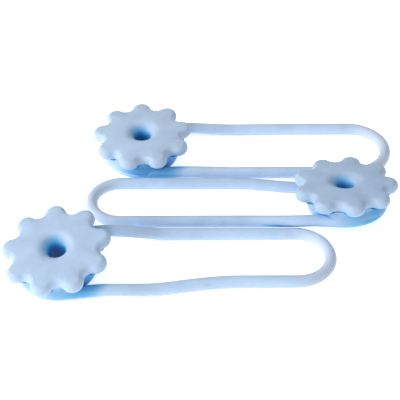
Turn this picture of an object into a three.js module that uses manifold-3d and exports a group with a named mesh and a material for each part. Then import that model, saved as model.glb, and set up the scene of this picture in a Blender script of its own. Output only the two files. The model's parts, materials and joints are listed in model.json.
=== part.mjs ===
// A set of three silicone cheek retractors, lying side by side and pointing in turn
// right, left and right. Each is a nine-lobed head with a funnel hole, on a short
// inverted cone, with a long loop of round cord moulded round the foot of the cone.
// Millimetres, +Z up. The table is z = 0, and the origin is the middle of the set on it.

import * as THREE from 'three';
import { mergeVertices } from 'three/addons/utils/BufferGeometryUtils.js';
import Module from 'manifold-3d';

const wasm = await Module();
wasm.setup();

// ---- driving dimensions: the moulding ----
const CORD_RADIUS = 2;
const GAP = 0.3;                      // between solids that meet

const LOBES = 9;
const TIP_REACH = 17.45;              // axis to the end of a lobe
const TIP_RADIUS = 3.2;               // round end of a lobe, seen from above
const VALLEY_REACH = 14.2;            // axis to the bottom of the hollow between two lobes
const HEAD_BOTTOM = 6.1;
const HEAD_TOP = 10.4;
const RIM_ROUND = 2.2;                // how far the rounded rim reaches in from the outline
const CROWN = 0.35;                   // rise of the top towards the funnel

const THROAT_RADIUS = 2.7;
const MOUTH_RADIUS = 6.6;
const FUNNEL_DEPTH = 4.5;

const NECK_FOOT_RADIUS = 12;
const NECK_TOP_RADIUS = 14;
const NECK_TOP = HEAD_BOTTOM - GAP;

// ---- driving dimensions: the loop, measured from the head's axis along the loop ----
const BEND_RADIUS = 12.2;             // middle of the cord round the neck
const LEAD_END = 13;                  // the bend's straight ends stop here
const ROOT_END = 28;                  // the loop stretches here
const FOLD_AT = 51;                   // the loop folds here
const RISE_END = 34;                  // a lifted cord has come down to the table here

// ---- the three retractors, as they lie ----
// side: +1 for a loop that points to +X, -1 to -X. The head leans as a whole, because the
// cords twist: roll is its turn about X, in degrees, positive where the +Y side is up, and
// pitch its turn about Y, positive where the +X side is down. turn: its lobes' angle.
// pinch: how far the bend's ends draw in. The plus cord is the one on the +Y side. Each
// cord has reached its own place, yPlus or yMinus, at the distance settlePlus or settleMinus.
const SET = [
  { name: 'back', side: 1, x: -20.15, y: 24.9, roll: 1.2, pitch: -1.2, turn: 93, pinch: 0,
    yPlus: 37.6, yMinus: 12.8, settlePlus: 62, settleMinus: 62, reach: 85.8,
    colour: 0xaec6e4 },
  { name: 'middle', side: -1, x: 48.3, y: -5.75, roll: -9.2, pitch: -2.5, turn: 76.5,
    pinch: 1.6, yPlus: 7, yMinus: -12.65, settlePlus: 38, settleMinus: 34, reach: 85,
    colour: 0xa9c3e3 },
  { name: 'front', side: 1, x: -44.45, y: -34.3, roll: 9.3, pitch: -4.8, turn: 95,
    pinch: 0.5, yPlus: -18.8, yMinus: -40.9, settlePlus: 34, settleMinus: 57, reach: 86,
    colour: 0xb2cbea },
];

// ---- mesh fineness ----
const TIP_STEPS = 5;
const VALLEY_STEPS = 4;
const RIM_STEPS = 2;
const FUNNEL_STEPS = 4;
const NECK_SIDES = 40;
const CORD_SIDES = 12;
const BEND_STEPS = 22;
const ROOT_STEPS = 5;
const MID_STEPS = 4;
const STRAIGHT_STEPS = 2;
const END_STEPS = 16;

const degrees = THREE.MathUtils.degToRad;

function smooth(from, to, u) {
  const t = THREE.MathUtils.clamp((u - from) / (to - from), 0, 1);
  return t * t * (3 - 2 * t);
}

// The radius of the hollow between two lobes, which makes it meet both tip arcs smoothly.
function valleyRadius() {
  const tip = TIP_REACH - TIP_RADIUS;
  const c = Math.cos(Math.PI / LOBES);
  const rest = tip * tip + VALLEY_REACH ** 2 - 2 * tip * VALLEY_REACH * c - TIP_RADIUS ** 2;
  return rest / (2 * TIP_RADIUS + 2 * tip * c - 2 * VALLEY_REACH);
}

// The lobed outline drawn in by inset: tip arcs shrink and hollows grow about fixed centres.
function lobedOutline(inset) {
  const hollow = valleyRadius();
  const tipCentre = TIP_REACH - TIP_RADIUS;
  const hollowCentre = VALLEY_REACH + hollow;
  const half = Math.PI / LOBES;
  const dx = hollowCentre * Math.cos(half) - tipCentre;
  const dy = hollowCentre * Math.sin(half);
  const meet = Math.atan2(dy, dx);
  const sweep = meet - half;
  const points = [];
  for (let lobe = 0; lobe < LOBES; lobe++) {
    const axis = 2 * half * lobe;
    const next = axis + half;
    for (let i = 0; i < TIP_STEPS; i++) {
      const a = axis - meet + (2 * meet * i) / TIP_STEPS;
      const r = TIP_RADIUS - inset;
      points.push(new THREE.Vector2(
        tipCentre * Math.cos(axis) + r * Math.cos(a),
        tipCentre * Math.sin(axis) + r * Math.sin(a)));
    }
    for (let i = 0; i < VALLEY_STEPS; i++) {
      const a = next + Math.PI + (sweep - (2 * sweep * i) / VALLEY_STEPS);
      const r = hollow + inset;
      points.push(new THREE.Vector2(
        hollowCentre * Math.cos(next) + r * Math.cos(a),
        hollowCentre * Math.sin(next) + r * Math.sin(a)));
    }
  }
  return points;
}

function circleLike(outline, radius) {
  return outline.map((p) => p.clone().setLength(radius));
}

// Joins rings of equal length, each to the next and the last to the first.
function closedRings(rings) {
  const count = rings[0].length;
  const positions = rings.flat().flatMap((p) => [p.x, p.y, p.z]);
  const index = [];
  rings.forEach((_, k) => {
    const here = k * count;
    const there = ((k + 1) % rings.length) * count;
    for (let i = 0; i < count; i++) {
      const j = (i + 1) % count;
      index.push(here + i, here + j, there + j);
      index.push(here + i, there + j, there + i);
    }
  });
  const geometry = new THREE.BufferGeometry();
  geometry.setAttribute('position', new THREE.Float32BufferAttribute(positions, 3));
  geometry.setIndex(index);
  geometry.computeVertexNormals();
  return geometry;
}

// A plate with the lobed outline and a full round rim, and a funnel hole down its middle.
function lobedHead() {
  const at = (points, z) => points.map((p) => new THREE.Vector3(p.x, p.y, z));
  const outline = lobedOutline(0);
  const middle = (HEAD_BOTTOM + HEAD_TOP) / 2;
  const half = (HEAD_TOP - HEAD_BOTTOM) / 2;
  const rings = [at(circleLike(outline, THROAT_RADIUS), HEAD_BOTTOM)];
  for (let i = -RIM_STEPS; i <= RIM_STEPS; i++) {
    const a = (Math.PI / 2) * (i / RIM_STEPS);
    const inset = RIM_ROUND * (1 - Math.cos(a));
    rings.push(at(lobedOutline(inset), middle + half * Math.sin(a)));
  }
  for (let i = 0; i <= FUNNEL_STEPS; i++) {
    const a = (Math.PI / 2) * (i / FUNNEL_STEPS);
    const radius = MOUTH_RADIUS - (MOUTH_RADIUS - THROAT_RADIUS) * Math.sin(a);
    const z = HEAD_TOP + CROWN - FUNNEL_DEPTH * (1 - Math.cos(a));
    rings.push(at(circleLike(outline, radius), z));
  }
  return closedRings(rings);
}

class RouteCurve extends THREE.Curve {
  constructor(place) {
    super();
    this.place = place;
  }

  getPoint(t, target = new THREE.Vector3()) {
    return target.copy(this.place(t));
  }
}

// A round cord of the given radius along place(t), t from 0 to 1.
function cord(place, steps, radius = CORD_RADIUS) {
  const section = new THREE.Shape();
  for (let i = 0; i < CORD_SIDES; i++) {
    const a = (2 * Math.PI * i) / CORD_SIDES;
    const move = i === 0 ? 'moveTo' : 'lineTo';
    section[move](radius * Math.cos(a), radius * Math.sin(a));
  }
  section.closePath();
  return new THREE.ExtrudeGeometry(section, { steps, extrudePath: new RouteCurve(place) });
}

// The bend round the neck, in the head's own frame: straight, half a turn, straight.
function bendPlace(retractor) {
  const turn = Math.PI * BEND_RADIUS;
  const whole = 2 * LEAD_END + turn;
  return (t) => {
    const s = t * whole;
    if (s < LEAD_END || s > LEAD_END + turn) {
      const sign = s < LEAD_END ? 1 : -1;
      const u = s < LEAD_END ? LEAD_END - s : s - LEAD_END - turn;
      const v = BEND_RADIUS - retractor.pinch * smooth(0, LEAD_END, u);
      return new THREE.Vector3(retractor.side * u, sign * v, CORD_RADIUS);
    }
    const a = (s - LEAD_END) / BEND_RADIUS;
    return new THREE.Vector3(
      -retractor.side * BEND_RADIUS * Math.sin(a), BEND_RADIUS * Math.cos(a), CORD_RADIUS);
  };
}

// Where the head's frame stands: it leans about the middle of the bend, and the lowest
// point of the bend lies on the table.
function headFrame(retractor) {
  const roll = degrees(retractor.roll);
  const pitch = degrees(retractor.pitch);
  const frame = new THREE.Matrix4().makeRotationFromEuler(new THREE.Euler(roll, pitch, 0));
  const place = bendPlace(retractor);
  const heights = [];
  for (let i = 0; i <= BEND_STEPS; i++) {
    heights.push(place(i / BEND_STEPS).setZ(0).applyMatrix4(frame).z);
  }
  const middle = new THREE.Vector3(0, 0, CORD_RADIUS).applyMatrix4(frame);
  frame.setPosition(
    retractor.x - middle.x,
    retractor.y - middle.y,
    CORD_RADIUS - Math.min(...heights) - middle.z);
  return frame;
}

// One cord of the loop, which leaves the bend in the bend's own direction and settles on
// the table. sign is +1 on the +Y side. Its place is given at distance u from the head.
function cordRoute(retractor, sign) {
  const frame = headFrame(retractor);
  const v = sign * (BEND_RADIUS - retractor.pinch);
  const start = new THREE.Vector3(retractor.side * LEAD_END, v, CORD_RADIUS).applyMatrix4(frame);
  const way = new THREE.Vector3(retractor.side, 0, 0).transformDirection(frame);
  const from = retractor.side * (start.x - retractor.x);
  const yEnd = sign > 0 ? retractor.yPlus : retractor.yMinus;
  const settle = sign > 0 ? retractor.settlePlus : retractor.settleMinus;
  const ease = (first, slope, last, to, u) => {
    const t = THREE.MathUtils.clamp((u - from) / (to - from), 0, 1);
    const carry = slope * (to - from) * t * (1 - t) ** 2;
    return THREE.MathUtils.lerp(first, last, smooth(0, 1, t)) + carry;
  };
  // The steepest fall that does not run on into the table.
  const fall = (3 * (CORD_RADIUS - start.z)) / (RISE_END - from);
  const place = (u) => new THREE.Vector3(
    retractor.x + retractor.side * u,
    ease(start.y, way.y / Math.abs(way.x), yEnd, settle, u),
    ease(start.z, Math.max(way.z / Math.abs(way.x), fall), CORD_RADIUS, RISE_END, u));
  return { from, place };
}

function endRadius(retractor) {
  return (retractor.yPlus - retractor.yMinus) / 2;
}

// The free end: half a turn from the +Y cord to the -Y one.
function endPlace(retractor) {
  const radius = endRadius(retractor);
  const centre = retractor.x + retractor.side * (retractor.reach - radius);
  const y = (retractor.yPlus + retractor.yMinus) / 2;
  return (t) => new THREE.Vector3(
    centre + retractor.side * radius * Math.sin(Math.PI * t),
    y + radius * Math.cos(Math.PI * t),
    CORD_RADIUS);
}

function toManifold(geometry) {
  const bare = geometry.clone();
  bare.deleteAttribute('normal');
  bare.deleteAttribute('uv');
  const merged = mergeVertices(bare, 1e-4);
  return new wasm.Manifold(new wasm.Mesh({
    numProp: 3,
    vertProperties: new Float32Array(merged.attributes.position.array),
    triVerts: new Uint32Array(merged.index.array),
  }));
}

function fromManifold(solid) {
  const mesh = solid.getMesh();
  const geometry = new THREE.BufferGeometry();
  geometry.setAttribute('position', new THREE.Float32BufferAttribute(mesh.vertProperties, 3));
  geometry.setIndex(Array.from(mesh.triVerts));
  geometry.computeVertexNormals();
  return geometry;
}

// The inverted cone, bored through, with the bed that the cord's bend lies in.
function neck(retractor) {
  const profile = [
    [THROAT_RADIUS, 0],
    [NECK_FOOT_RADIUS, 0],
    [NECK_TOP_RADIUS, NECK_TOP],
    [THROAT_RADIUS, NECK_TOP],
    [THROAT_RADIUS, 0],
  ].map(([r, z]) => new THREE.Vector2(r, z));
  const cone = new THREE.LatheGeometry(profile, NECK_SIDES).rotateX(Math.PI / 2);
  const bed = cord(bendPlace(retractor), BEND_STEPS, CORD_RADIUS + GAP);
  return fromManifold(toManifold(cone).subtract(toManifold(bed)));
}

function silicone(colour) {
  return new THREE.MeshStandardMaterial({ color: colour, roughness: 0.45, metalness: 0 });
}

function named(name, geometry, material) {
  const mesh = new THREE.Mesh(geometry, material);
  mesh.name = name;
  return mesh;
}

function headGroup(retractor, material) {
  const head = new THREE.Group();
  headFrame(retractor).decompose(head.position, head.quaternion, head.scale);
  const plate = named(`${retractor.name}_lobed_head`, lobedHead(), material);
  plate.rotation.z = degrees(retractor.turn);
  head.add(plate);
  head.add(named(`${retractor.name}_neck`, neck(retractor), material));
  const bend = cord(bendPlace(retractor), BEND_STEPS);
  head.add(named(`${retractor.name}_neck_bend`, bend, material));
  return head;
}

function loopGroup(retractor, material) {
  const loop = new THREE.Group();
  const endStart = retractor.reach - endRadius(retractor);
  for (const sign of [1, -1]) {
    const hand = sign * retractor.side > 0 ? 'left' : 'right';
    const route = cordRoute(retractor, sign);
    const stretches = [
      ['root', route.from + GAP, ROOT_END - GAP / 2, ROOT_STEPS],
      ['mid', ROOT_END + GAP / 2, FOLD_AT - GAP / 2, MID_STEPS],
      ['tip', FOLD_AT + GAP / 2, endStart - GAP, STRAIGHT_STEPS],
    ];
    for (const [part, from, to, steps] of stretches) {
      const place = (t) => route.place(from + (to - from) * t);
      loop.add(named(`${retractor.name}_${hand}_cord_${part}`, cord(place, steps), material));
    }
  }
  loop.add(named(`${retractor.name}_loop_end`, cord(endPlace(retractor), END_STEPS), material));
  return loop;
}

const set = new THREE.Group();
for (const retractor of SET) {
  const material = silicone(retractor.colour);
  set.add(headGroup(retractor, material));
  set.add(loopGroup(retractor, material));
}

// The origin: the middle of the whole set, on the table.
const box = new THREE.Box3().setFromObject(set, true);
const centre = box.getCenter(new THREE.Vector3());
set.position.set(-centre.x, -centre.y, -box.min.z);

export default set;
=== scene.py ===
"""A set of three pale blue silicone cheek retractors, lying side by side on a white table.

Each is one soft moulding: a nine-lobed head with a funnel down its middle, on an inverted
cone, with a long loop of round cord moulded round the foot of the cone. Lengths here are
in millimetres and become metres where a mesh is made.
"""

import json
import math

import bpy
import numpy as np
from mathutils import Matrix, Vector


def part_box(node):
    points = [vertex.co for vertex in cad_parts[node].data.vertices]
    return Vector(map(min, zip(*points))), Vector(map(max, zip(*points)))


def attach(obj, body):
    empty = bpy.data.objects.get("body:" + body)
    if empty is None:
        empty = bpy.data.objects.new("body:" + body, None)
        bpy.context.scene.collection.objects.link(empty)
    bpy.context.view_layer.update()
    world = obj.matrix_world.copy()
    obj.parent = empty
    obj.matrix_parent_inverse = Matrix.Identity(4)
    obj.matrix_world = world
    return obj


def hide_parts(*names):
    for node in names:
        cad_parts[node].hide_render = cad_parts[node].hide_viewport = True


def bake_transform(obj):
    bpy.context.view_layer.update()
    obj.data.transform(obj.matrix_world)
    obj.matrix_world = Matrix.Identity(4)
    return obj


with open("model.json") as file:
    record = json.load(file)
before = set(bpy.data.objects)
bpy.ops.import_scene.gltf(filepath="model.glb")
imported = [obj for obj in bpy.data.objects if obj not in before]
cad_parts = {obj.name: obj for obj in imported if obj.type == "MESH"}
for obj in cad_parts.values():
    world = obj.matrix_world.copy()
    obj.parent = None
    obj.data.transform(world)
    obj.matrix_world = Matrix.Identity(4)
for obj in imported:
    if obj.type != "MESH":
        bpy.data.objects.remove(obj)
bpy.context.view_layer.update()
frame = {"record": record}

MM = 0.001

# ---- the moulding: the CAD part's sizes, but for those that say otherwise ----
CORD_RADIUS = 2.0
LOBES = 9
TIP_REACH = 17.45                     # from the head's axis to the end of a lobe
TIP_RADIUS = 3.45                     # fuller than the CAD's plain lobe
VALLEY_REACH = 13.95                  # to the bottom of a hollow, deeper than the CAD's
HEAD_BOTTOM = 6.1
HEAD_TOP = 10.4
RIM_ROUND = 1.85                      # how far the rim's rounding comes in over the top
CROWN = 0.35                          # how much the top rises from its rim to the funnel
THROAT_RADIUS = 2.7
MOUTH_RADIUS = 6.6
FUNNEL_DEPTH = 4.5
NECK_FOOT_RADIUS = 12.0
NECK_TOP_RADIUS = 14.0
NECK_TOP = 5.8
BEND_RADIUS = 12.2                    # of the cord's middle line, round the neck's foot
LEAD_END = 13.0                       # where the cords leave the head's own frame
RISE_END = 34.0                       # where a lifted cord is down on the table again
MOUNT_REACH = 6.5                     # from the head's axis to its mount point on the foot

# ---- roundings that only the visible head and neck have ----
FOOT_ROUND = 0.7
BORE_ROUND = 0.5                      # at the bore's lower end
UNDER_ROUND = 1.1                     # depth of the rounding under the lobes, at the cone
UNDER_SOFT = 0.9                      # how softly the lobes' underside runs into the cone
SOFT_FROM = 0.8                       # radians below the rim's middle where that is in full
SHARPEST = 0.01                       # and its least, so that it never divides by nothing
WAIST_RADIUS = 12.9                   # the flank draws in to this, right under the head
WAIST_HEIGHT = 5.6
FLANK_INSIDE = NECK_FOOT_RADIUS - 1   # nearer the axis than this is foot or bore, not flank
BOWL_START = 1.6                      # the flank swells out over the bend from this height
BOWL_SOFT = 0.3                       # how softly it does
BOWL_END = (0.1, 0.6)                 # the bowl fades out towards the loop, as cosines
LEAST_SINE = 0.5                      # keeps the bowl's wall along the leads finite
FLANK_EASE = 0.5                      # share of the flank over which the lobes' shape fades
FOOT_RINGS = (9.0, 6.5, 4.6)          # radii of rings on the flat foot
BORE_RINGS = (1.5, 2.7, 4.0, 5.2)     # heights of rings up the bore

# ---- where the visible pieces of a loop meet, along it from the head's axis ----
ROOT_SEAM = 26.5
MID_SEAM = 42.0

# ---- the three retractors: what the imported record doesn't say about how each lies ----
# side: the way its loop points, along X. turn: the lobes' turn on the neck, in degrees.
# pinch: how far each lead draws in. settle: where the +Y and the -Y cord reach their own line.
SET = [
    {"name": "back", "side": 1, "turn": 93.0, "pinch": 0.0, "settle": (62.0, 62.0)},
    {"name": "middle", "side": -1, "turn": 76.5, "pinch": 1.6, "settle": (38.0, 34.0)},
    {"name": "front", "side": 1, "turn": 95.0, "pinch": 0.5, "settle": (34.0, 57.0)},
]

# ---- mesh fineness ----
TIP_STEPS = 16                        # round one lobe's tip
VALLEY_STEPS = 12                     # round one hollow
FUNNEL_STEPS = 18
TOP_STEPS = 14
RIM_STEPS = 22
UNDER_STEPS = 8
FLANK_STEPS = 16
FOOT_STEPS = 5
BORE_STEPS = 4
CORD_SIDES = 36
CORD_STEP = 0.6                       # between the rings along a cord


def smooth(a, b, u):
    """Rises from 0 at a to 1 at b, and is level at both."""
    t = np.clip((u - a) / (b - a), 0.0, 1.0)
    return t * t * (3 - 2 * t)


def soft_max(a, b, k):
    """The larger of a and b, rounded off where they cross within k."""
    h = np.maximum(k - np.abs(a - b), 0.0) / k
    return np.maximum(a, b) + h * h * k / 4


# ---- how a retractor lies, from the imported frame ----

MOUNTS = {m["name"]: m for m in frame["record"]["mounts"]}


def lay_out(retractor):
    """Adds the head's frame and the loop's ends, read from the record and the CAD boxes."""
    name, side = retractor["name"], retractor["side"]
    mount = MOUNTS[name + "_foot"]
    down = Vector(mount["axis"])
    roll = math.atan2(down.y, -down.z)
    pitch = math.asin(-down.x)
    turned = Matrix.Rotation(roll, 4, "X") @ Matrix.Rotation(pitch, 4, "Y")
    origin = Vector(mount["pos_m"]) / MM - turned @ Vector((side * MOUNT_REACH, 0, 0))
    retractor["frame"] = Matrix.Translation(origin) @ turned
    middle = retractor["frame"] @ Vector((0, 0, CORD_RADIUS))
    retractor["x"], retractor["y"] = middle.x, middle.y
    low, high = (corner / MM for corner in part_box(name + "_loop_end"))
    retractor["ends"] = (high.y - CORD_RADIUS, low.y + CORD_RADIUS)
    far = high.x - CORD_RADIUS if side > 0 else low.x + CORD_RADIUS
    retractor["reach"] = side * (far - middle.x)


def bend_points(retractor):
    """The bend round the neck with its straight leads, from the +Y side, in the head's frame."""
    side, pinch = retractor["side"], retractor["pinch"]
    points = []
    for sign in (1, -1):
        count = int(LEAD_END / CORD_STEP)
        lead = []
        for i in range(count):
            u = LEAD_END * (1 - i / count)
            v = BEND_RADIUS - pinch * smooth(0, LEAD_END, u)
            lead.append(Vector((side * u, sign * v, CORD_RADIUS)))
        points.append(lead)
    count = int(math.pi * BEND_RADIUS / CORD_STEP)
    half_turn = []
    for i in range(count + 1):
        a = math.pi * i / count
        x, y = -side * BEND_RADIUS * math.sin(a), BEND_RADIUS * math.cos(a)
        half_turn.append(Vector((x, y, CORD_RADIUS)))
    return points[0] + half_turn + points[1][::-1]


def cord_route(retractor, sign):
    """Where one cord leaves its lead, and a function for its place at distance u past that."""
    side = retractor["side"]
    place = retractor["frame"]
    v = sign * (BEND_RADIUS - retractor["pinch"])
    start = place @ Vector((side * LEAD_END, v, CORD_RADIUS))
    way = place.to_3x3() @ Vector((side, 0, 0))
    begin = side * (start.x - retractor["x"])
    end_y = retractor["ends"][0 if sign > 0 else 1]
    settle = retractor["settle"][0 if sign > 0 else 1]

    def ease(first, slope, last, to, u):
        t = min(max((u - begin) / (to - begin), 0.0), 1.0)
        carry = slope * (to - begin) * t * (1 - t) ** 2
        return first + (last - first) * float(smooth(0, 1, t)) + carry

    fall = 3 * (CORD_RADIUS - start.z) / (RISE_END - begin)
    rise = max(way.z / abs(way.x), fall)

    def at(u):
        return Vector((
            retractor["x"] + side * u,
            ease(start.y, way.y / abs(way.x), end_y, settle, u),
            ease(start.z, rise, CORD_RADIUS, RISE_END, u),
        ))

    return begin, at


def cord_points(retractor, sign, u0, u1):
    """Evenly spaced places along one cord, from distance u0 to distance u1."""
    at = cord_route(retractor, sign)[1]
    count = max(2, int(abs(u1 - u0) / CORD_STEP))
    return [at(u0 + (u1 - u0) * i / count) for i in range(count + 1)]


def end_points(retractor):
    """The free end: half a turn from the +Y cord to the -Y one, without its two end points."""
    plus, minus = retractor["ends"]
    radius = (plus - minus) / 2
    centre = retractor["x"] + retractor["side"] * (retractor["reach"] - radius)
    count = int(math.pi * radius / CORD_STEP)
    points = []
    for i in range(1, count):
        a = math.pi * i / count
        x = centre + retractor["side"] * radius * math.sin(a)
        points.append(Vector((x, (plus + minus) / 2 + radius * math.cos(a), CORD_RADIUS)))
    return points


# ---- meshes ----

def mesh_object(name, vertices, faces, material):
    """A smooth-shaded mesh from millimetres; a face with many corners is a flat end."""
    mesh = bpy.data.meshes.new(name)
    mesh.from_pydata([tuple(MM * c for c in v) for v in vertices], [], faces)
    mesh.polygons.foreach_set("use_smooth", [len(face) <= 4 for face in faces])
    mesh.materials.append(material)
    mesh.update()
    made = bpy.data.objects.new(name, mesh)
    bpy.context.scene.collection.objects.link(made)
    return made


def set_weights(piece, name, weigh):
    """Stores weigh(point in millimetres) on each vertex, for the material to read."""
    layer = piece.data.attributes.new(name, "FLOAT", "POINT")
    layer.data.foreach_set("value", [weigh(v.co / MM) for v in piece.data.vertices])


PARTING_LINE = 0.07                   # height of the mould's parting line along a cord
PARTING_WIDTH = 0.16                  # its half width, in radians round the cord
WAVER = 0.03                          # how unevenly a cord is thick
WAVER_TURN = (0.21, 0.17)             # radians per millimetre along X and Y
END_RING = 0.02                       # how far from a cord's end its extra ring is


def cord_mesh(name, points, material):
    """A round cord with flat ends and a fine parting line along both sides.

    A ring close to each end keeps the smooth shading true right up to it.
    """
    points = [np.array(p) for p in points]
    for end, inner in ((0, 1), (-1, -2)):
        step = points[inner] - points[end]
        close = points[end] + step * END_RING / np.linalg.norm(step)
        points.insert(inner if end == 0 else len(points) - 1, close)
    vertices, faces = [], []
    for i, point in enumerate(points):
        before, after = points[max(i - 1, 0)], points[min(i + 1, len(points) - 1)]
        along = (after - before) / np.linalg.norm(after - before)
        across = np.cross(along, (0, 0, 1))
        across /= np.linalg.norm(across)
        up = np.cross(across, along)
        for k in range(CORD_SIDES):
            a = 2 * math.pi * k / CORD_SIDES
            off_side = abs(math.sin(a))
            ridge = PARTING_LINE * math.exp(-((off_side / PARTING_WIDTH) ** 2))
            phase = WAVER_TURN[0] * point[0] + WAVER_TURN[1] * point[1]
            waver = WAVER * math.sin(phase) * math.cos(2 * a)
            r = CORD_RADIUS - PARTING_LINE + ridge + waver
            vertices.append(point + r * (math.cos(a) * across + math.sin(a) * up))
    for i in range(len(points) - 1):
        for k in range(CORD_SIDES):
            j = (k + 1) % CORD_SIDES
            here, there = i * CORD_SIDES, (i + 1) * CORD_SIDES
            faces.append((here + k, there + k, there + j, here + j))
    for i, flip in ((0, False), (len(points) - 1, True)):
        ring = [i * CORD_SIDES + k for k in range(CORD_SIDES)]
        faces.append(tuple(ring[::-1] if flip else ring))
    return mesh_object(name, vertices, faces, material)


def lobed_outline(inset):
    """The lobed outline drawn in by inset: tip arcs shrink and hollows grow."""
    half = math.pi / LOBES
    tip = TIP_REACH - TIP_RADIUS
    c = math.cos(half)
    rest = tip**2 + VALLEY_REACH**2 - 2 * tip * VALLEY_REACH * c - TIP_RADIUS**2
    hollow = rest / (2 * TIP_RADIUS + 2 * tip * c - 2 * VALLEY_REACH)
    far = VALLEY_REACH + hollow
    meet = math.atan2(far * math.sin(half), far * c - tip)
    sweep = meet - half
    points = []
    for lobe in range(LOBES):
        axis = 2 * half * lobe
        for i in range(TIP_STEPS):
            a = axis - meet + 2 * meet * i / TIP_STEPS
            r = TIP_RADIUS - inset
            points.append((tip * math.cos(axis) + r * math.cos(a),
                           tip * math.sin(axis) + r * math.sin(a)))
        between = axis + half
        for i in range(VALLEY_STEPS):
            a = between + math.pi + sweep - 2 * sweep * i / VALLEY_STEPS
            r = hollow + inset
            points.append((far * math.cos(between) + r * math.cos(a),
                           far * math.sin(between) + r * math.sin(a)))
    return np.array(points)


def neck_radius(z):
    """The inverted cone's radius at height z, drawn in to the waist under the head."""
    cone = NECK_FOOT_RADIUS + (NECK_TOP_RADIUS - NECK_FOOT_RADIUS) * z / NECK_TOP
    return min(cone, WAIST_RADIUS)


def button_rings(retractor):
    """Closed rings of the head and neck in one: throat, funnel, top, rim, cone, foot, bore."""
    outline = lobed_outline(0)
    length = np.linalg.norm(outline, axis=1)
    unit = outline / length[:, None]
    rings = []

    def ring(xy, z):
        rings.append(np.column_stack([xy, np.broadcast_to(z, len(outline))]))

    for i in range(FUNNEL_STEPS + 1):
        a = math.pi / 2 * (1 - i / FUNNEL_STEPS)
        radius = MOUTH_RADIUS - (MOUTH_RADIUS - THROAT_RADIUS) * math.sin(a)
        ring(unit * radius, HEAD_TOP + CROWN - FUNNEL_DEPTH * (1 - math.cos(a)))
    inner = lobed_outline(RIM_ROUND)
    for i in range(1, TOP_STEPS):
        t = i / TOP_STEPS
        xy = unit * MOUTH_RADIUS * (1 - t) + inner * t
        ring(xy, HEAD_TOP + CROWN * (1 - t * t))
    middle, half = (HEAD_BOTTOM + HEAD_TOP) / 2, (HEAD_TOP - HEAD_BOTTOM) / 2
    for i in range(RIM_STEPS + 1):
        a = math.pi / 2 * (1 - 2 * i / RIM_STEPS)
        rim = lobed_outline(RIM_ROUND * (1 - math.cos(a)))
        z = middle + half * math.sin(a)
        reach = np.linalg.norm(rim, axis=1)
        if a < 0:
            width = UNDER_SOFT * smooth(0, SOFT_FROM, -a) + SHARPEST
            rim = rim * (soft_max(reach, neck_radius(z), width) / reach)[:, None]
        ring(rim, z)
    under = np.linalg.norm(lobed_outline(RIM_ROUND), axis=1)
    for i in range(1, UNDER_STEPS + 1):
        t = i / UNDER_STEPS
        z = HEAD_BOTTOM - UNDER_ROUND * t * t
        inward = under * (1 - t) + np.minimum(under, NECK_FOOT_RADIUS) * t
        ring(unit * soft_max(inward, neck_radius(z), UNDER_SOFT)[:, None], z)
    top = HEAD_BOTTOM - UNDER_ROUND
    last = np.linalg.norm(rings[-1][:, :2], axis=1)
    for i in range(1, FLANK_STEPS + 1):
        t = i / FLANK_STEPS
        z = top + (FOOT_ROUND - top) * t
        plain = smooth(0, FLANK_EASE, t)
        radius = last * (1 - plain) + neck_radius(z) * plain
        ring(unit * radius[:, None], z)
    for i in range(1, FOOT_STEPS + 1):
        a = math.pi / 2 * i / FOOT_STEPS
        radius = neck_radius(0) - FOOT_ROUND * (1 - math.cos(a))
        ring(unit * radius, FOOT_ROUND * (1 - math.sin(a)))
    for radius in (*FOOT_RINGS, THROAT_RADIUS + BORE_ROUND):
        ring(unit * radius, 0.0)
    for i in range(1, BORE_STEPS + 1):
        a = math.pi / 2 * i / BORE_STEPS
        radius = THROAT_RADIUS + BORE_ROUND - BORE_ROUND * math.sin(a)
        ring(unit * radius, BORE_ROUND * (1 - math.cos(a)))
    for z in BORE_RINGS:
        ring(unit * THROAT_RADIUS, z)
    return swell_to_bend(rings, retractor)


def swell_to_bend(rings, retractor):
    """Carries the cone's flank down onto the outside of the cord's bend, as one bowl."""
    turn = math.radians(retractor["turn"])
    c, s = math.cos(turn), math.sin(turn)
    for points in rings:
        z = float(points[:, 2].mean())
        reach = np.linalg.norm(points[:, :2], axis=1)
        if not BOWL_START < z < HEAD_BOTTOM or reach.min() < FLANK_INSIDE:
            continue
        x = (c * points[:, 0] - s * points[:, 1]) / reach * retractor["side"]
        y = (s * points[:, 0] + c * points[:, 1]) / reach
        t = smooth(CORD_RADIUS, WAIST_HEIGHT, z)
        wall = (BEND_RADIUS + CORD_RADIUS - PARTING_LINE) * (1 - t) + WAIST_RADIUS * t
        bowl = np.where(x < 0, wall, wall / np.maximum(np.abs(y), LEAST_SINE))
        share = 1 - smooth(*BOWL_END, x)
        grown = soft_max(reach, bowl, BOWL_SOFT)
        points[:, :2] *= (1 + share * (grown - reach) / reach)[:, None]
    return rings


# ---- painted shade: where the silicone is painted deeper blue than its shape alone makes it ----
FUNNEL_SHADY_SIDE = Vector((-0.6, 0.8, 0.0))
FUNNEL_GAIN = 0.62                    # how much painted shade, a deeper blue, the funnel's wall gets on that side
FLANK_SHADY_SIDE = Vector((0.9, -0.3, 0.0))
CONE_GAIN = 0.45                      # how much painted shade the cone gets on that side
BEND_GAIN = 0.75                      # and the cord round its foot
FLANK_FADE = (5.0, 7.5)               # heights between which the flank's painted shade ends
FLANK_INNER = (10.0, 12.0)            # distances from the axis between which it starts
FLANK_OUTER = (15.0, 23.0)            # and between which it ends
MOST_FLANK = 0.9
BORE_FADE = (1.5, 4.5)                # heights between which the throat's painted shade halves
FOOT_FADE = (0.0, 1.5)                # and, at the foot, where the painted shade inside starts


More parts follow.
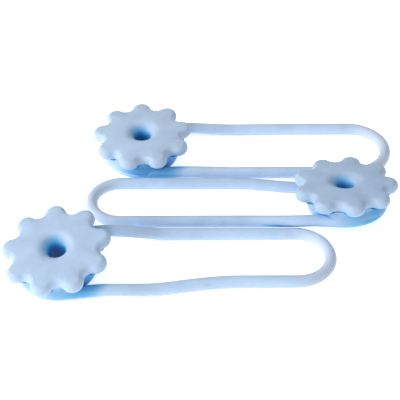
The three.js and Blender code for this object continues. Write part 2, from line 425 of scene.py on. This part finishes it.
def painted_shade_depth(retractor, point, flank_gain):
    """How much painted shade, a deeper blue, a point gets: in the throat, on the funnel's shady
    wall and on the flank's shady side.
    """
    inside = retractor["frame"].inverted() @ point
    out = math.hypot(inside.x, inside.y)
    outward = retractor["frame"].to_3x3() @ Vector((inside.x, inside.y, 0)) / out
    throat = 1 - smooth(THROAT_RADIUS - 0.1, THROAT_RADIUS + 1.0, out)
    throat *= 1 - 0.5 * smooth(*BORE_FADE, inside.z)
    wall = 1 - smooth(THROAT_RADIUS, MOUTH_RADIUS + 0.5, out)
    wall *= FUNNEL_GAIN * max(outward.dot(FUNNEL_SHADY_SIDE) + 0.2, 0.0)
    flank = (1 - smooth(*FLANK_FADE, inside.z)) * smooth(*FLANK_INNER, out)
    flank *= 1 - smooth(*FLANK_OUTER, out)
    flank *= flank_gain * max(outward.dot(FLANK_SHADY_SIDE) + 0.5, 0.0)
    return float(max(throat, wall) * smooth(*FOOT_FADE, inside.z) + min(flank, MOST_FLANK))


def button(retractor, material):
    """The head and neck as one closed mesh, turned as this retractor's lobes are."""
    rings = button_rings(retractor)
    count = len(rings[0])
    turn = Matrix.Rotation(math.radians(retractor["turn"]), 4, "Z")
    place = retractor["frame"] @ turn
    vertices = [place @ Vector(p) for ring in rings for p in ring]
    faces = []
    for k in range(len(rings)):
        here, there = k * count, (k + 1) % len(rings) * count
        for i in range(count):
            j = (i + 1) % count
            faces.append((here + i, there + i, there + j, here + j))
    made = mesh_object(retractor["name"] + "_button", vertices, faces, material)
    # The hollow weights are painted shade: a deeper blue in the throat, on the funnel's shady wall
    # and on the cone's shady side.
    set_weights(made, "hollow", lambda p: painted_shade_depth(retractor, p, CONE_GAIN))
    return made


# ---- materials ----

# Painted shade: the colour for each share of open sky that a point of the surface has,
# the less sky, the darker and bluer.
CLOSED_AT, CLOSED_SHADE_TINT = 0.06, (0.0005, 0.02, 0.12)
DEEP_AT, DEEP_SHADE_TINT = 0.22, (0.012, 0.25, 0.64)
HALF_OPEN_AT, HALF_OPEN_SHADE_TINT = 0.45, (0.17, 0.48, 0.78)
OPEN_AT = 0.78

GREY_END_TINT = (0.56, 0.62, 0.72, 1)     # the free ends are painted a little greyer
GREY_END_SHARE = 0.55
GREY_END_ZONE = (2, 16)                   # the greyness fades out this far from the end
DUST_TINT = (0.06, 0.07, 0.1, 1)
DUST_RARITY = 0.55                    # this share of the possible specks is left out
DUST_STRENGTH = 0.55                  # how far a speck hides the silicone under it


def silicone(name, tint, nook_size):
    """Pale blue moulded silicone: satin, a little translucent, with a few specks of dust and
    painted shade.
    """
    material = bpy.data.materials.new(name)
    material.use_nodes = True
    nodes, links = material.node_tree.nodes, material.node_tree.links
    shader = nodes["Principled BSDF"]

    def node(kind, **values):
        made = nodes.new(kind)
        for key, value in values.items():
            if hasattr(made, key):
                setattr(made, key, value)
            else:
                made.inputs[key.replace("_", " ")].default_value = value
        return made

    place = node("ShaderNodeTexCoord")

    # Painted shade: corners and hollows are painted deeper and bluer than open faces, standing in
    # for light inside the body, and so are the places that the hollow weights mark.
    nook = node("ShaderNodeAmbientOcclusion", samples=12)
    nook.inputs["Distance"].default_value = nook_size * MM
    hollow = node("ShaderNodeAttribute", attribute_name="hollow")
    open_share = node("ShaderNodeMapRange", To_Min=1.0, To_Max=0.3)
    links.new(hollow.outputs["Fac"], open_share.inputs["Value"])
    openness = node("ShaderNodeMath", operation="MULTIPLY")
    links.new(nook.outputs["AO"], openness.inputs[0])
    links.new(open_share.outputs["Result"], openness.inputs[1])
    shade_ramp = node("ShaderNodeValToRGB")
    ramp = shade_ramp.color_ramp
    ramp.elements[0].position, ramp.elements[0].color = CLOSED_AT, (*CLOSED_SHADE_TINT, 1)
    ramp.elements[1].position, ramp.elements[1].color = OPEN_AT, (*tint, 1)
    deep = ramp.elements.new(DEEP_AT)
    deep.color = (*DEEP_SHADE_TINT, 1)
    half_open = ramp.elements.new(HALF_OPEN_AT)
    half_open.color = (*HALF_OPEN_SHADE_TINT, 1)
    links.new(openness.outputs["Value"], shade_ramp.inputs["Fac"])

    # Cloudy unevenness of the pigment.
    clouds = node("ShaderNodeTexNoise", Scale=160.0, Detail=3.0, Roughness=0.55)
    links.new(place.outputs["Object"], clouds.inputs["Vector"])
    cloudy = node("ShaderNodeMapRange", From_Min=0.35, From_Max=0.65, To_Min=0.95, To_Max=1.04)
    links.new(clouds.outputs["Fac"], cloudy.inputs["Value"])
    mottled = node("ShaderNodeVectorMath", operation="SCALE")
    links.new(shade_ramp.outputs["Color"], mottled.inputs[0])
    links.new(cloudy.outputs["Result"], mottled.inputs["Scale"])

    # Specks of dust, one every few millimetres and much smaller than that.
    specks = node("ShaderNodeTexVoronoi", feature="F1", Scale=260.0, Randomness=1.0)
    links.new(place.outputs["Object"], specks.inputs["Vector"])
    tiny = node("ShaderNodeMapRange", From_Min=0.03, From_Max=0.05, To_Min=1.0, To_Max=0.0)
    links.new(specks.outputs["Distance"], tiny.inputs["Value"])
    chosen = node("ShaderNodeSeparateColor")
    links.new(specks.outputs["Color"], chosen.inputs["Color"])
    few = node("ShaderNodeMath", operation="GREATER_THAN")
    few.inputs[1].default_value = DUST_RARITY
    links.new(chosen.outputs["Red"], few.inputs[0])
    dusty = node("ShaderNodeMath", operation="MULTIPLY")
    links.new(tiny.outputs["Result"], dusty.inputs[0])
    links.new(few.outputs["Value"], dusty.inputs[1])
    faint = node("ShaderNodeMath", operation="MULTIPLY")
    faint.inputs[1].default_value = DUST_STRENGTH
    links.new(dusty.outputs["Value"], faint.inputs[0])
    # The free ends of the loops are painted a little greyer.
    grey_end = node("ShaderNodeAttribute", attribute_name="grey_end")
    greyed = node("ShaderNodeMix", data_type="RGBA")
    greyed.inputs["B"].default_value = GREY_END_TINT
    links.new(grey_end.outputs["Fac"], greyed.inputs["Factor"])
    links.new(mottled.outputs["Vector"], greyed.inputs["A"])
    colour = node("ShaderNodeMix", data_type="RGBA")
    colour.inputs["B"].default_value = DUST_TINT
    links.new(faint.outputs["Value"], colour.inputs["Factor"])
    links.new(greyed.outputs["Result"], colour.inputs["A"])
    links.new(colour.outputs["Result"], shader.inputs["Base Color"])

    # The satin skin left by the mould.
    grain = node("ShaderNodeTexNoise", Scale=2600.0, Detail=2.0)
    links.new(place.outputs["Object"], grain.inputs["Vector"])
    swells = node("ShaderNodeTexNoise", Scale=320.0, Detail=2.0)
    links.new(place.outputs["Object"], swells.inputs["Vector"])
    coarse = node("ShaderNodeBump", Strength=0.15, Distance=0.0001)
    links.new(swells.outputs["Fac"], coarse.inputs["Height"])
    fine = node("ShaderNodeBump", Strength=0.3, Distance=0.00003)
    links.new(grain.outputs["Fac"], fine.inputs["Height"])
    links.new(coarse.outputs["Normal"], fine.inputs["Normal"])
    links.new(fine.outputs["Normal"], shader.inputs["Normal"])
    satin = node("ShaderNodeMapRange", From_Min=0.3, From_Max=0.7, To_Min=0.42, To_Max=0.56)
    links.new(clouds.outputs["Fac"], satin.inputs["Value"])
    links.new(satin.outputs["Result"], shader.inputs["Roughness"])

    shader.inputs["IOR"].default_value = 1.41
    shader.inputs["Specular IOR Level"].default_value = 0.35
    shader.inputs["Subsurface Weight"].default_value = 0.15
    shader.inputs["Subsurface Scale"].default_value = 0.5 * MM
    shader.inputs["Subsurface Radius"].default_value = (0.5, 0.8, 1.0)
    return material


TABLE_GLOW = 0.64                     # brings the table up to a clean white


def table_top():
    """A matt white table that glows a little."""
    material = bpy.data.materials.new("white_table")
    material.use_nodes = True
    nodes, links = material.node_tree.nodes, material.node_tree.links
    shader = nodes["Principled BSDF"]
    noise = nodes.new("ShaderNodeTexNoise")
    noise.inputs["Scale"].default_value = 40.0
    spread = nodes.new("ShaderNodeMapRange")
    spread.inputs["To Min"].default_value = 0.55
    spread.inputs["To Max"].default_value = 0.65
    links.new(noise.outputs["Fac"], spread.inputs["Value"])
    links.new(spread.outputs["Result"], shader.inputs["Roughness"])
    shader.inputs["Base Color"].default_value = (0.93, 0.93, 0.93, 1)
    shader.inputs["Specular IOR Level"].default_value = 0.1
    shader.inputs["Emission Color"].default_value = (1, 1, 1, 1)
    shader.inputs["Emission Strength"].default_value = TABLE_GLOW
    return material


# ---- build ----

def along(retractor, u):
    """A point at distance u along the loop, in metres."""
    return (MM * (retractor["x"] + retractor["side"] * u), MM * retractor["y"], MM * CORD_RADIUS)


HEAD_NOOK = 6.0                       # a head's hollows narrower than this get painted shade, a deeper blue
CORD_NOOK = 2.0                       # and a cord's
CORD_PAINTED_LIGHT = 1.07                     # the cords' copy of the silicone is painted this much paler than the heads': painted light that lifts their shade


def add_button(retractor, tint):
    """The head and neck, rigid on the head's body."""
    name = retractor["name"]
    head = button(retractor, silicone(name + "_head_silicone", tint, HEAD_NOOK))
    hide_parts(name + "_lobed_head", name + "_neck")
    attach(head, name + "_head")


def add_neck_cord(retractor, material):
    """The cord round the neck's foot and the start of both straight cords."""
    name = retractor["name"]
    begin = cord_route(retractor, 1)[0]
    plus = cord_points(retractor, 1, ROOT_SEAM, begin)[:-1]
    bend = [retractor["frame"] @ p for p in bend_points(retractor)]
    begin = cord_route(retractor, -1)[0]
    minus = cord_points(retractor, -1, begin, ROOT_SEAM)[1:]
    root = cord_mesh(name + "_neck_cord", plus + bend + minus, material)
    # The hollow weights are painted shade: a deeper blue on the shady side of the bend under the
    # head.
    set_weights(root, "hollow", lambda p: painted_shade_depth(retractor, p, BEND_GAIN))
    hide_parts(name + "_neck_bend", name + "_left_cord_root", name + "_right_cord_root")
    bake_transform(root)


def add_straight_cords(retractor, material):
    """The two straight cords."""
    name = retractor["name"]
    for sign in (1, -1):
        hand = "left" if sign * retractor["side"] > 0 else "right"
        points = cord_points(retractor, sign, ROOT_SEAM, MID_SEAM)
        cord = cord_mesh(f"{name}_{hand}_cord", points, material)
        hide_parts(f"{name}_{hand}_cord_mid")
        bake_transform(cord)


def add_loop(retractor, material):
    """The rest of both cords and the half-round free end."""
    name = retractor["name"]
    radius = (retractor["ends"][0] - retractor["ends"][1]) / 2
    end_start = retractor["reach"] - radius
    out = cord_points(retractor, 1, MID_SEAM, end_start)
    back = cord_points(retractor, -1, end_start, MID_SEAM)
    tip = cord_mesh(name + "_loop", out + end_points(retractor) + back, material)
    far = retractor["x"] + retractor["side"] * retractor["reach"]
    set_weights(tip, "grey_end", lambda p: GREY_END_SHARE * (1 - float(smooth(*GREY_END_ZONE, abs(p.x - far)))))
    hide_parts(name + "_loop_end", name + "_left_cord_tip", name + "_right_cord_tip")
    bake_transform(tip)


def build(retractor, tint):
    """One whole retractor."""
    lay_out(retractor)
    # The cords get a paler copy of the silicone: painted light.
    cord_lit_tint = [CORD_PAINTED_LIGHT * value for value in tint]
    material = silicone(retractor["name"] + "_cord_silicone", cord_lit_tint, CORD_NOOK)
    add_button(retractor, tint)
    add_neck_cord(retractor, material)
    add_straight_cords(retractor, material)
    add_loop(retractor, material)


TINTS = {
    "back": (0.45, 0.58, 0.76),
    "middle": (0.40, 0.53, 0.71),
    "front": (0.43, 0.57, 0.76),
}
for item in SET:
    build(item, TINTS[item["name"]])

# ---- camera, table and light ----

# Angles are in degrees; the azimuth is counted from straight in front.
CAMERA_ELEVATION = 40.82
CAMERA_AZIMUTH = 0.16
CAMERA_ROLL = 0.07
CAMERA_DISTANCE = 395.1
CAMERA_TARGET = Vector((-2.8, 5.38, 0.0))
CAMERA_LENS = 104.24


def make_camera():
    """Aims the camera at its target, with no turn but the small roll."""
    camera = bpy.data.objects.new("camera", bpy.data.cameras.new("camera"))
    bpy.context.scene.collection.objects.link(camera)
    elevation, azimuth = math.radians(CAMERA_ELEVATION), math.radians(CAMERA_AZIMUTH)
    forward = Vector((
        math.sin(azimuth) * math.cos(elevation),
        math.cos(azimuth) * math.cos(elevation),
        -math.sin(elevation),
    ))
    camera.location = MM * (CAMERA_TARGET - forward * CAMERA_DISTANCE)
    facing = forward.to_track_quat("-Z", "Y").to_matrix().to_4x4()
    turn = facing @ Matrix.Rotation(math.radians(-CAMERA_ROLL), 4, "Z")
    camera.rotation_euler = turn.to_euler()
    camera.data.lens = CAMERA_LENS
    camera.data.clip_start = 0.01
    camera.data.clip_end = 10
    bpy.context.scene.camera = camera


def area_light(name, location, size, power):
    """A soft light that faces the middle of the set."""
    light = bpy.data.lights.new(name, "AREA")
    light.shape = "RECTANGLE"
    light.size, light.size_y = size
    light.energy = power
    made = bpy.data.objects.new(name, light)
    bpy.context.scene.collection.objects.link(made)
    made.location = location
    made.rotation_euler = (-Vector(location)).to_track_quat("-Z", "Y").to_euler()


make_camera()

TABLE_REACH = 2000.0
TABLE_DROP = 0.02                     # keeps the feet just clear of the table
corners = [(x * TABLE_REACH, y * TABLE_REACH, 0) for x, y in ((-1, -1), (1, -1), (1, 1), (-1, 1))]
floor = mesh_object("table", corners, [(0, 1, 2, 3)], table_top())
floor.location.z = -TABLE_DROP * MM

# name, place in metres, width and height in metres, power in watts
LIGHTS = [
    ("key", (-0.7, -0.2, 0.42), (0.5, 0.5), 5.5),
    ("top", (-0.1, 0.1, 0.9), (0.7, 0.7), 1.2),
    ("front", (0.1, -0.8, 0.4), (0.7, 0.5), 1.2),
]
for light_name, location, size, power in LIGHTS:
    area_light(light_name, location, size, power)

WORLD_STRENGTH = 0.41
world = bpy.data.worlds.new("studio")
world.use_nodes = True
world.node_tree.nodes["Background"].inputs["Color"].default_value = (1, 1, 1, 1)
world.node_tree.nodes["Background"].inputs["Strength"].default_value = WORLD_STRENGTH
scene = bpy.context.scene
scene.world = world
scene.view_settings.view_transform = "Standard"
scene.view_settings.look = "None"
scene.view_settings.exposure = 0.0
